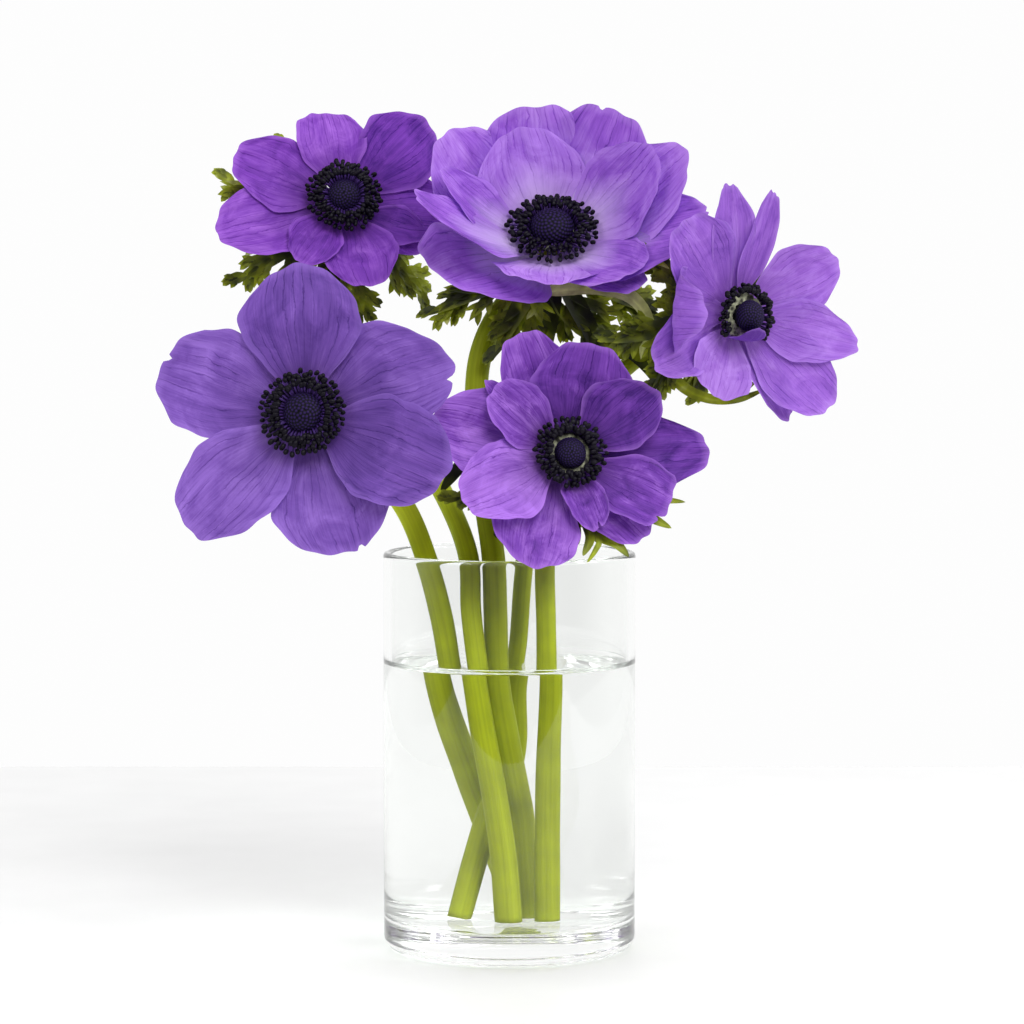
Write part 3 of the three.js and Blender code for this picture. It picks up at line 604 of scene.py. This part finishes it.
def anemone_petal(number, deep, middle, pale, root, root_share):
    """Anemone petal: soft satin violet with fine streaks and thin darker veins that fan out from
    the root, the veins about 2.4 mm apart at the widest part, with cloudy paler patches, a painted
    highlight along its rim, a root colour that in the dark flowers is partly painted shade, and some
    light shining through it."""
    material, tree, output = start_material(f"violet_anemone_petal_{number}")
    blade_map = add(tree, "ShaderNodeUVMap", uv_map="petal")
    painted_light_tone_map = add(tree, "ShaderNodeUVMap", uv_map="tone_and_painted_light")
    spot = add(tree, "ShaderNodeSeparateXYZ", {0: blade_map.outputs[0]})
    own = add(tree, "ShaderNodeSeparateXYZ", {0: painted_light_tone_map.outputs[0]})
    fan = add(tree, "ShaderNodeCombineXYZ", {"X": spot.outputs["X"], "Y": spot.outputs["Y"],
                                             "Z": own.outputs["Y"]})
    # The petal's lightness starts the tone: partly its own tone and partly painted light and shade
    # for how it faces the lamps.
    tone_and_painted_light = own.outputs["X"]
    for scale, detail, distortion, share in (((9, 1.2, 37), 4.0, 0.7, 0.42),
                                             ((64, 2.2, 91), 3.0, 0.5, 0.42),
                                             ((3.4, 3.0, 53), 5.0, 1.0, 0.95)):
        placed = add(tree, "ShaderNodeMapping", {0: fan.outputs[0], "Scale": scale})
        noise = add(tree, "ShaderNodeTexNoise", {"Vector": placed.outputs[0], "Scale": 1.0,
                                                 "Detail": detail, "Roughness": 0.6,
                                                 "Distortion": distortion})
        change = add(tree, "ShaderNodeMath", {0: noise.outputs[0], 1: 0.5}, operation="SUBTRACT")
        added = add(tree, "ShaderNodeMath", {0: change.outputs[0], 1: share, 2: tone_and_painted_light},
                    operation="MULTIPLY_ADD")
        tone_and_painted_light = added.outputs[0]
    bent = add(tree, "ShaderNodeMath", {0: noise.outputs[0], 1: 1.6}, operation="MULTIPLY")
    fanned = add(tree, "ShaderNodeMath", {0: spot.outputs["X"], 1: 13.0, 2: bent.outputs[0]},
                 operation="MULTIPLY_ADD")
    beside = add(tree, "ShaderNodeMath", {0: fanned.outputs[0], 1: 0.5}, operation="PINGPONG")
    line = add(tree, "ShaderNodeMapRange", {0: beside.outputs[0], 1: 0.0, 2: 0.1, 3: 1.0, 4: 0.0})
    strong_at = add(tree, "ShaderNodeMapping", {0: fan.outputs[0], "Scale": (7, 2.5, 19)})
    strong = add(tree, "ShaderNodeTexNoise", {"Vector": strong_at.outputs[0], "Scale": 1.0,
                                              "Detail": 2.0})
    strength = add(tree, "ShaderNodeMapRange", {0: strong.outputs[0], 1: 0.42, 2: 0.62, 3: 0.0,
                                                4: -0.3})
    veined = add(tree, "ShaderNodeMath", {0: line.outputs[0], 1: strength.outputs[0], 2: tone_and_painted_light},
                 operation="MULTIPLY_ADD")
    tone_and_painted_light = veined.outputs[0]
    violet = add(tree, "ShaderNodeValToRGB", {0: tone_and_painted_light}, ((0.1, deep), (0.5, middle), (0.95, pale)))
    # Towards the root the colour turns to the root colour: in the dark flowers partly their own
    # colour and partly painted shade in the flower's middle.
    from_middle = add(tree, "ShaderNodeMath", {0: spot.outputs["X"], 1: 0.5}, operation="SUBTRACT")
    to_side = add(tree, "ShaderNodeMath", {0: from_middle.outputs[0]}, operation="ABSOLUTE")
    tongue = add(tree, "ShaderNodeMath", {0: to_side.outputs[0], 1: 0.5, 2: spot.outputs["Y"]},
                 operation="MULTIPLY_ADD")
    near_root = add(tree, "ShaderNodeMapRange", {0: tongue.outputs[0], 1: 0.12, 2: 0.72,
                                                 3: root_share, 4: 0.0})
    rooted = add(tree, "ShaderNodeMix", {0: near_root.outputs[0], 6: violet.outputs[0],
                                         7: linear(root)}, data_type="RGBA")
    # A painted highlight along the side and tip rims, in the palest violet, for the light the thin
    # edge catches.
    side_rim_highlight = add(tree, "ShaderNodeMapRange", {0: to_side.outputs[0], 1: 0.43, 2: 0.5, 3: 0.0,
                                                4: 0.45})
    tip_rim_highlight = add(tree, "ShaderNodeMapRange", {0: spot.outputs["Y"], 1: 0.93, 2: 1.0, 3: 0.0,
                                               4: 0.45})
    rim = add(tree, "ShaderNodeMath", {0: side_rim_highlight.outputs[0], 1: tip_rim_highlight.outputs[0]},
              operation="MAXIMUM")
    rim_highlighted = add(tree, "ShaderNodeMix", {0: rim.outputs[0], 6: rooted.outputs[2],
                                         7: linear(pale)}, data_type="RGBA")
    relief = add(tree, "ShaderNodeBump", {"Height": tone_and_painted_light, "Strength": 0.6, "Distance": 0.0006})
    finish_thin_blade(tree, output, rim_highlighted.outputs[2], relief.outputs[0], {
        "Roughness": 0.55, "IOR": 1.38, "Specular IOR Level": 0.28, "Sheen Weight": 0.06,
        "Sheen Roughness": 0.4, "Sheen Tint": linear("#D9C4F5")})
    return material


def petal_sheet(axes, description, seed, rows=46, columns=37):
    """Points, faces and map values of one petal, from root to tip and from edge to edge."""
    direction, length, width, root_slope, tip_slope, own = description
    shape = dict(layer=1.0, widest=0.68, end=0.8, tip=0.22, skew=0.0, sway=0.0, cup=2.0, bend=1.0,
                 root=4.5, tear=None)
    shape.update(own)
    chance = random.Random(seed)
    a, b, c, d = (chance.uniform(0, 2 * math.pi) for _ in range(4))
    small = min(1.0, width / WAVY_WIDTH)
    along, across = np.meshgrid(np.linspace(0, 1, rows), np.linspace(-1, 1, columns), indexing="ij")
    # How far short of its full length the blade stops: at the sides of the tip, on the side it
    # leans from, in its ragged rim and in a tear.
    cutback = (shape["tip"] * np.abs(across) ** 2.4 - shape["skew"] * across
               + along ** 5 * (0.012 * np.sin(5 * across + a) + 0.008 * np.sin(11 * across + b)))
    if shape["tear"]:
        place, depth = shape["tear"]
        cutback = cutback + depth * np.exp(-((across - place) / 0.05) ** 2) * along ** 12
    reach = np.clip(along * (1 - cutback), 0, 1.05)
    # Its half width: narrow at the root, full where it is widest, narrower to its end.
    swelling = 0.2 + 0.8 * np.sin(np.clip(along / shape["widest"], 0, 1) * math.pi / 2) ** 1.5
    rounding = 1 - (1 - shape["end"]) * np.clip(
        (along - shape["widest"]) / (1 - shape["widest"]), 0, 1) ** 2
    margin = 1 + np.abs(across) ** 3 * (0.03 * np.sin(9 * along + a + 2 * across)
                                        + 0.015 * np.sin(23 * along + c + across))
    half = width / 2 * swelling * rounding * margin
    # Its middle line, as it leaves the flower: how far out, how high and how steep.
    fine = np.linspace(0, 1.05, 220)
    slope = np.radians(root_slope + (tip_slope - root_slope) * fine ** shape["bend"])
    step = length * (fine[1] - fine[0])
    out_path = shape["root"] + np.concatenate([[0], np.cumsum(np.cos(slope[1:]) * step)])
    up_path = -shape["layer"] + np.concatenate([[0], np.cumsum(np.sin(slope[1:]) * step)])
    distance = np.interp(reach, fine, out_path)
    height = np.interp(reach, fine, up_path)
    tilt = np.interp(reach, fine, slope)
    centre, right, up, out = axes
    bearing = np.radians(direction + shape["sway"] * reach ** 1.5)[..., None]
    radial = np.cos(bearing) * right + np.sin(bearing) * up
    side = np.cos(bearing) * up - np.sin(bearing) * right
    normal = np.cos(tilt)[..., None] * out - np.sin(tilt)[..., None] * radial
    # How it is lifted off that line: cupped across, waved at the rim, creased along the middle.
    open_part = np.clip(1.6 * reach - 0.15, 0, 1)
    lift = (shape["cup"] * (across * half / (width / 2)) ** 2 * np.clip(1.6 * reach, 0, 1)
            + small * open_part * (
                0.75 * np.abs(across) ** 3 * np.sin(10 * reach + b + 1.6 * np.sign(across))
                + 0.5 * np.sin(4 * across + c) * reach ** 4
                + 0.35 * np.sin(2.6 * across + d) * np.sin(5 * reach + a)
                + 0.13 * np.sin(15 * across + 1.5 * np.sin(4 * reach + d)) * (0.4 + reach)
                - 0.35 * np.exp(-(across / 0.16) ** 2) * (1 - reach)))
    points = (centre + radial * distance[..., None] + out * height[..., None]
              + side * (across * half)[..., None] + normal * lift[..., None])
    faces = [(i * columns + j, (i + 1) * columns + j, (i + 1) * columns + j + 1, i * columns + j + 1)
             for i in range(rows - 1) for j in range(columns - 1)]
    values = np.stack([(across + 1) / 2, along], axis=-1).reshape(-1, 2)
    return points.reshape(-1, 3), faces, values


def gather(piece, points, faces, values):
    """Adds one part's points, faces and map values to those of the piece that it belongs to."""
    first = len(piece["points"])
    piece["points"] += list(points)
    piece["faces"] += [tuple(first + k for k in face) for face in faces]
    piece["values"] += list(values)


for number, (flower, petals, violets) in enumerate(zip(FLOWERS, PETALS, FLOWER_VIOLETS), 1):
    chance = random.Random(300 + number)
    petal = anemone_petal(number, *violets)
    sheets, shades = dict(points=[], faces=[], values=[]), []
    for place, description in enumerate(petals):
        sheet = petal_sheet(flower_axes(flower), description, 1000 * number + place)
        gather(sheets, *sheet)
        # Each petal's lightness, partly painted light and shade, and a random value go to its points.
        shades += [(description[5].get("tone_and_painted_light", 0.5), chance.random())] * len(sheet[0])
    make_piece(f"petals_of_flower_{number}", sheets["points"], sheets["faces"], petal,
               [f"petals_{number}"], {"petal": sheets["values"], "tone_and_painted_light": shades})


# The flowers' centres: a dark dome of tightly packed seed vessels, velvety and knobbly, with a
# dense ring of stamens round it. Each stamen is a thin dark thread with a plump oval anther.
# dome and ring are the radii of the dome and of the stamens' ring, and height is how far the
# anthers stand out of the flower. pale is how far the pale ring shows round the dome, bare are the
# bearings without stamens, and lifted is how much further out the dome stands.
CENTRES = [
    dict(dome=6.4, ring=13.0, height=4.6, stamens=180, pale=0.0),
    dict(dome=5.6, ring=11.8, height=5.4, stamens=160, pale=0.0),
    dict(dome=7.0, ring=14.0, height=7.0, stamens=160, pale=0.5),
    dict(dome=5.0, ring=9.8, height=4.8, stamens=100, pale=1.3, bare=(218, 306), lifted=2.2,
         rows=2),
    dict(dome=5.0, ring=10.8, height=4.8, stamens=140, pale=1.0),
]

# Seed vessels: near-black violet, like coarse velvet, darkest between the knobs as a painted shade
# and greyer on each knob as a painted highlight.
seed_dome, tree, output = start_material("dark_seed_vessels")
knob_map = add(tree, "ShaderNodeUVMap", uv_map="knob")
knob = add(tree, "ShaderNodeSeparateXYZ", {0: knob_map.outputs[0]})
# Painted shade between the knobs and a greyer painted highlight on each knob.
dark = add(tree, "ShaderNodeValToRGB", {0: knob.outputs["X"]}, (
    (0.1, "#020105"), (0.6, "#090613"), (1.0, "#2A1B4E")))
velvet = add(tree, "ShaderNodeBsdfPrincipled", {
    "Base Color": dark.outputs[0], "Roughness": 0.55, "IOR": 1.4,
    "Specular IOR Level": 0.14, "Sheen Weight": 0.02, "Sheen Roughness": 0.5,
    "Sheen Tint": linear("#7A5CC8")})
tree.links.new(velvet.outputs[0], output.inputs["Surface"])

# Stamens: near-black navy violet, with a slight gloss that picks out each anther.
stamen, tree, output = start_material("dark_stamens")
part_map = add(tree, "ShaderNodeUVMap", uv_map="stamen")
part = add(tree, "ShaderNodeSeparateXYZ", {0: part_map.outputs[0]})
ink = add(tree, "ShaderNodeValToRGB", {0: part.outputs["Y"]}, (
    (0.0, "#120A24"), (0.2, "#3A2560"), (0.48, "#0C0716"), (1.0, "#08050F")))
dust_at = add(tree, "ShaderNodeTexCoord")
dust = add(tree, "ShaderNodeTexNoise", {"Vector": dust_at.outputs["Object"], "Scale": 2400.0,
                                        "Detail": 2.0})
relief = add(tree, "ShaderNodeBump", {"Height": dust.outputs[0], "Strength": 0.4,
                                      "Distance": 0.0001})
waxy = add(tree, "ShaderNodeBsdfPrincipled", {
    "Base Color": ink.outputs[0], "Normal": relief.outputs[0], "Roughness": 0.42, "IOR": 1.45,
    "Specular IOR Level": 0.16})
tree.links.new(waxy.outputs[0], output.inputs["Surface"])

# Flower base: the cream-green ring that shows between the dome and the stamens.
flower_base, tree, output = start_material("cream_green_flower_base")
place = add(tree, "ShaderNodeTexCoord")
specks = add(tree, "ShaderNodeTexNoise", {"Vector": place.outputs["Object"], "Scale": 520.0,
                                          "Detail": 4.0})
cream = add(tree, "ShaderNodeValToRGB", {0: specks.outputs[0]}, (
    (0.42, "#3C3A34"), (0.62, "#C6C9A8")))
fleshy = add(tree, "ShaderNodeBsdfPrincipled", {"Base Color": cream.outputs[0], "Roughness": 0.6,
                                                "IOR": 1.4})
tree.links.new(fleshy.outputs[0], output.inputs["Surface"])


NECK_RADIUS = 3.2
NECK_HEIGHT = 0.6


def knobbly_dome(axes, radius, base, rings=54, sides=132, knobs=210):
    """A dome with knobs spread evenly over it, on a narrow neck that stands on the flower."""
    turns = np.arange(knobs) * math.pi * (3 - 5 ** 0.5)
    levels = 1 - 1.12 * (np.arange(knobs) + 0.5) / knobs
    spread = np.sqrt(np.clip(1 - levels ** 2, 0, 1))
    seeds = np.stack([spread * np.cos(turns), spread * np.sin(turns), levels], axis=1)
    theta, phi = np.meshgrid(np.linspace(0.0, math.radians(104), rings),
                             np.linspace(0, 2 * math.pi, sides, endpoint=False), indexing="ij")
    ball = np.stack([np.sin(theta) * np.cos(phi), np.sin(theta) * np.sin(phi), np.cos(theta)],
                    axis=-1).reshape(-1, 3)
    apart = np.sqrt(np.clip(2 - 2 * (ball @ seeds.T).max(axis=1), 0, None))
    knob = np.clip(1 - (apart / (1.9 / knobs ** 0.5)) ** 2, 0, 1)
    size = radius * (0.93 + 0.07 * knob)
    local = ball * size[:, None] * (1, 1, 0.78) + (0, 0, base + 0.2 * radius)
    neck = np.stack([NECK_RADIUS * np.cos(phi[0]), NECK_RADIUS * np.sin(phi[0]),
                     np.full(sides, NECK_HEIGHT)], axis=1)
    local = np.vstack([local, neck])
    centre, right, up, out = axes
    points = centre + local[:, :1] * right + local[:, 1:2] * up + local[:, 2:] * out
    faces = [(a, d, c, b) for a, b, c, d in ring_faces(rings + 1, sides)]
    values = np.zeros((len(points), 2))
    values[:len(knob), 0] = knob
    return points, faces, values


# A thread is 0.64 mm thick and thinner at its tip. An anther is a rod with blunt round ends: how
# far along it each of its rings lies and how wide the ring is, as shares of its size.
THREAD_RADII = [0.32] * 5 + [0.26, 0.2]
ANTHER_PLACES = (-0.85, -0.7, -0.4, 0.0, 0.4, 0.7, 0.85)
ANTHER_WIDTHS = (0.12, 0.42, 0.6, 0.66, 0.6, 0.42, 0.12)


def add_stamen(ring, axes, angle, start, tip, chance):
    """One stamen: a bowed thread from the dome's foot, with its anther across the end."""
    centre, right, up, out = axes
    away = right * math.cos(angle) + up * math.sin(angle)
    p = centre + away * start[0] + out * start[1]
    q = centre + away * tip[0] + out * tip[1]
    bow = out * chance.uniform(0.5, 1.2)
    thread = [p + (q - p) * s + bow * math.sin(math.pi * s) for s in np.linspace(0, 1, 7)]
    points, faces, values = swept(thread, THREAD_RADII, 6)
    gather(ring, points, faces, [(0.0, 0.3 * v) for _, v in values])
    lean = away * math.cos(0.5) + out * math.sin(0.5) * chance.uniform(-0.3, 1.2)
    lean += (right * chance.uniform(-1, 1) + up * chance.uniform(-1, 1)) * 0.35
    lean /= np.linalg.norm(lean)
    size = chance.uniform(1.05, 1.35)
    points, faces, values = swept([q + lean * size * s for s in ANTHER_PLACES],
                                  [size * w for w in ANTHER_WIDTHS], 10, 0.75)
    gather(ring, points, faces, [(1.0, 0.5 + 0.5 * v) for _, v in values])


# The stamens stand in four rows, of which the inner ones stand further out of the flower.
ROW_RADII = (1.0, 0.88, 0.77, 0.67)
ROW_HEIGHTS = (-0.2, 0.6, 1.3, 1.8)
RIM_SIDES = 96
for number, (flower, middle) in enumerate(zip(FLOWERS, CENTRES), 1):
    axes = flower_axes(flower)
    dome, pale = middle["dome"], middle["pale"]
    base = middle["height"] - 1.8
    points, faces, values = knobbly_dome(axes, dome, base + middle.get("lifted", 0))
    make_piece(f"seed_dome_{number}", points, faces, seed_dome, [f"centre_{number}"],
               {"knob": values})
    chance = random.Random(400 + number)
    ring = dict(points=[], faces=[], values=[])
    low, high = (math.radians(a) for a in middle.get("bare", (0, 0)))
    for k in range(middle["stamens"]):
        row = k % middle.get("rows", 4)
        angle = 2 * math.pi * (k + chance.uniform(-0.9, 0.9)) / middle["stamens"]
        reach = middle["ring"] * ROW_RADII[row] * chance.uniform(0.88, 1.04)
        height = middle["height"] + ROW_HEIGHTS[row] + chance.uniform(-0.7, 0.7)
        if not low < angle < high:
            start = (dome * (0.72 + 0.58 * pale), base + 0.3)
            add_stamen(ring, axes, angle, start, (reach, height), chance)
    make_piece(f"stamens_{number}", ring["points"], ring["faces"], stamen, (),
               {"stamen": ring["values"]})
    if pale:
        centre, right, up, out = axes
        rim, wide = [], dome * (1.0 + 0.3 * pale)
        for radius, height in ((3.0, base - 1.2), (wide, base - 0.6), (wide + 0.4, base - 0.1),
                               (wide - 0.2, base + 0.35), (dome * 0.85, base + 0.45)):
            for a in np.linspace(0, 2 * math.pi, RIM_SIDES, endpoint=False):
                r = radius * (1 + 0.05 * math.sin(7 * a + number) + 0.04 * math.sin(19 * a))
                rim.append(centre + right * r * math.cos(a) + up * r * math.sin(a) + out * height)
        make_piece(f"flower_base_{number}", rim, ring_faces(5, RIM_SIDES), flower_base)


# The table: a plain matt white board behind which the wall is pure white. It isn't part of the
# vase of flowers, and only carries its soft shadow. Glass lets the lamps shine through here, so a
# painted shadow greys the board's colour within 45 mm of the thick base, for the light that the
# base bends away.
BOARD_LEFT, BOARD_RIGHT, BOARD_FRONT, BOARD_BACK = -600, 600, -500, 411
BOARD_UNDERSIDE, BOARD_TOP = -30.2, -0.2
table_board = bpy.data.meshes.new("table_board")
table_board.from_pydata([(x / 1000, y / 1000, z / 1000) for z in (BOARD_UNDERSIDE, BOARD_TOP)
                         for x, y in ((BOARD_LEFT, BOARD_FRONT), (BOARD_RIGHT, BOARD_FRONT),
                                      (BOARD_RIGHT, BOARD_BACK), (BOARD_LEFT, BOARD_BACK))], [],
                        [(3, 2, 1, 0), (4, 5, 6, 7)] + ring_faces(2, 4))
table, tree, output = start_material("matt_white_board")
place = add(tree, "ShaderNodeTexCoord")
grain = add(tree, "ShaderNodeTexNoise", {"Vector": place.outputs["Object"], "Scale": 30.0,
                                         "Detail": 2.0})
white = add(tree, "ShaderNodeValToRGB", {0: grain.outputs[0]}, ((0.3, "#E2E2E2"), (0.7, "#E5E5E5")))
# A painted shadow: the board's colour is darkened where the glass base is near.
near = add(tree, "ShaderNodeAmbientOcclusion", {"Distance": 0.045}, samples=16)
painted_contact_shadow = add(tree, "ShaderNodeMapRange", {0: near.outputs["AO"], 1: 0.3, 2: 1.0, 3: 0.76, 4: 1.0})
white_with_painted_shadow = add(tree, "ShaderNodeVectorMath", {0: white.outputs[0], "Scale": painted_contact_shadow.outputs[0]},
             operation="SCALE")
matt = add(tree, "ShaderNodeBsdfPrincipled", {"Base Color": white_with_painted_shadow.outputs[0], "Roughness": 0.45,
                                              "IOR": 1.45})
tree.links.new(matt.outputs[0], output.inputs["Surface"])
table_board.materials.append(table)
table_piece = bpy.data.objects.new("table_board", table_board)
bpy.context.scene.collection.objects.link(table_piece)


# The light: a white room that glows evenly behind the vase and is dimmer towards the viewer, a
# large soft lamp high in front, and two smaller ones at the right and at the left. Lamps and
# camera are placed in metres.
scene = bpy.context.scene
scene.view_settings.view_transform = "Standard"
scene.view_settings.look = "None"
room = bpy.data.worlds.new("white_room")
room.use_nodes = True
room.node_tree.nodes.clear()
tree = room.node_tree
heading = add(tree, "ShaderNodeTexCoord")
split = add(tree, "ShaderNodeSeparateXYZ", {0: heading.outputs["Generated"]})
behind = add(tree, "ShaderNodeMapRange", {0: split.outputs["Y"], 1: -0.4, 2: 0.3, 3: 0.25, 4: 0.985})
wall = add(tree, "ShaderNodeBackground", {"Color": linear("#FFFFFF"), "Strength": behind.outputs[0]})
sky = add(tree, "ShaderNodeOutputWorld", {"Surface": wall.outputs[0]})
scene.world = room
# The thick base sends light round inside it many times before it comes out.
LIGHT_BOUNCES = 40
scene.cycles.max_bounces = LIGHT_BOUNCES
scene.cycles.transmission_bounces = LIGHT_BOUNCES
scene.cycles.glossy_bounces = LIGHT_BOUNCES
scene.cycles.transparent_max_bounces = LIGHT_BOUNCES

for name, place, aim, size, power in (
        ("lamp_high_front", (1.0, -2.4, 2.6), (0.0, 0.0, 0.18), 2.0, 102.0),
        ("lamp_right", (1.5, -0.3, 0.85), (0.0, 0.0, 0.1), 0.6, 11.0),
        ("lamp_left", (-1.1, -0.9, 1.05), (0.0, 0.0, 0.18), 0.8, 8.0)):
    lamp = bpy.data.lights.new(name, "AREA")
    lamp.shape, lamp.size, lamp.energy = "SQUARE", size, power
    holder = bpy.data.objects.new(name, lamp)
    holder.location = place
    holder.rotation_euler = (Vector(aim) - Vector(place)).to_track_quat("-Z", "Y").to_euler()
    scene.collection.objects.link(holder)


# The camera: level with the flowers, a little over a metre away, tipped slightly down.
CAMERA_PLACE = (0.00082, -1.1402, 0.2172)
TIPPED_DOWN = 3.94
lens = bpy.data.cameras.new("view_from_front")
lens.sensor_width, lens.sensor_fit, lens.lens = 36.0, "HORIZONTAL", 126.88
lens.clip_start, lens.clip_end = 0.05, 20.0
camera = bpy.data.objects.new("view_from_front", lens)
camera.location = CAMERA_PLACE
camera.rotation_euler = (math.radians(90 - TIPPED_DOWN), 0, 0)
scene.collection.objects.link(camera)
scene.camera = camera

bpy.context.view_layer.update()
